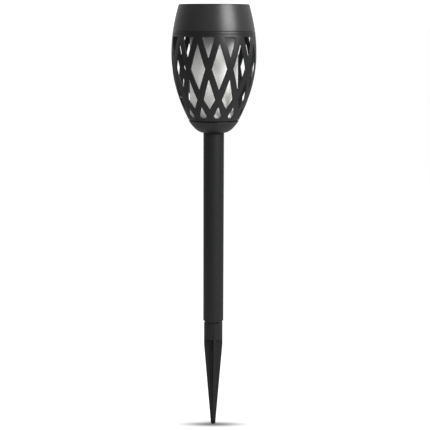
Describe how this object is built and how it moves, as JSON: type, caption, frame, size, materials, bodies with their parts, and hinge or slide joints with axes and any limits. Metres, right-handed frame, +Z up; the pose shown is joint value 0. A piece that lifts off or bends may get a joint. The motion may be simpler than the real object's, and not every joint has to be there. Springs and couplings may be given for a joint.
{
  "type": "solar garden torch",
  "caption": "Solar garden torch: finned ground spike, round pole and a barrel-shaped lattice head holding a frosted lamp that screws out under a solar crown.",
  "frame": {"origin": "on the torch's axis at the ground line, where the spike's open blades end and its round barrel begins", "axes": "+Z up along the pole towards the solar crown; -Y is the side seen from the front; the switch is on the -Y side under the crown"},
  "size_m": [0.1178, 0.1178, 0.6038],
  "materials": {
    "black_shell": "satin, fine moulded texture",
    "black_spike": "dull, moulded",
    "frosted_white": "translucent, finely frosted",
    "white_plastic": "smooth",
    "black_rubber": "dull",
    "board_green": "lacquered circuit board",
    "board_black": "black lacquered circuit board",
    "solar_cell": "dark blue silicon with fine silver lines",
    "clear_window": "clear, polished",
    "battery_sleeve": "shrink sleeve",
    "chip_black": "moulded",
    "plated_steel": "zinc plated",
    "red_insulation": "smooth",
    "black_insulation": "smooth"
  },
  "bodies": {
    "spike": {"ground_spike": "black_spike"},
    "pole": {"pole": "black_shell"},
    "cage": {"lower_bowl": "black_shell", "lattice_cage": "black_shell", "bowl_screw_1": "plated_steel", "bowl_screw_2": "plated_steel", "bowl_screw_3": "plated_steel"},
    "rim_seal": {"rim_seal": "black_rubber"},
    "lamp": {"crown_shell": "black_shell", "window_tape": "black_rubber", "solar_window": "clear_window", "solar_board": "board_black", "solar_cell_1": "solar_cell", "solar_cell_2": "solar_cell", "solar_cell_3": "solar_cell", "solar_cell_4": "solar_cell", "solar_cell_5": "solar_cell", "solar_cell_6": "solar_cell", "base_seal": "black_rubber", "base_plate": "black_shell", "base_screw_1": "plated_steel", "base_screw_2": "plated_steel", "base_screw_3": "plated_steel", "base_screw_4": "plated_steel", "diffuser": "frosted_white", "led_core": "white_plastic", "led_strip": "white_plastic", "core_screw_1": "plated_steel", "core_screw_2": "plated_steel", "battery_cradle": "white_plastic", "battery": "battery_sleeve", "battery_spring": "plated_steel", "spring_contact": "plated_steel", "terminal_contact": "plated_steel", "control_board": "board_green", "board_screw_1": "plated_steel", "board_screw_2": "plated_steel", "driver_chip": "chip_black", "charge_coil": "chip_black", "storage_capacitor": "chip_black", "switch_body": "chip_black", "panel_lead_red": "red_insulation", "panel_lead_black": "black_insulation", "battery_lead_red": "red_insulation", "battery_lead_black": "black_insulation", "lamp_lead": "black_insulation"},
    "button": {"switch_button": "black_rubber"}
  },
  "joints": [
    {"name": "pole_pull", "type": "slide", "parent": "spike", "child": "pole", "axis": [0, 0, 1], "range_m": [0, 0.03]},
    {"name": "head_pull", "type": "slide", "parent": "pole", "child": "cage", "axis": [0, 0, 1], "range_m": [0, 0.03]},
    {"name": "crown_lift", "type": "slide", "parent": "cage", "child": "rim_seal", "axis": [0, 0, 1], "range_m": [0, 0.0051]},
    {"name": "crown_twist", "type": "hinge", "parent": "rim_seal", "child": "lamp", "pos_m": [0, 0, 0.4382], "axis": [0, 0, 1], "range_deg": [0, 72]},
    {"name": "switch_press", "type": "slide", "parent": "lamp", "child": "button", "axis": [0, 0, 1], "range_m": [0, 0.0015], "stiffness_N_per_m": 600}
  ],
  "couplings": [
    {"joint": "crown_lift", "follows": "crown_twist", "m_per_rad": 0.0040107}
  ]
}
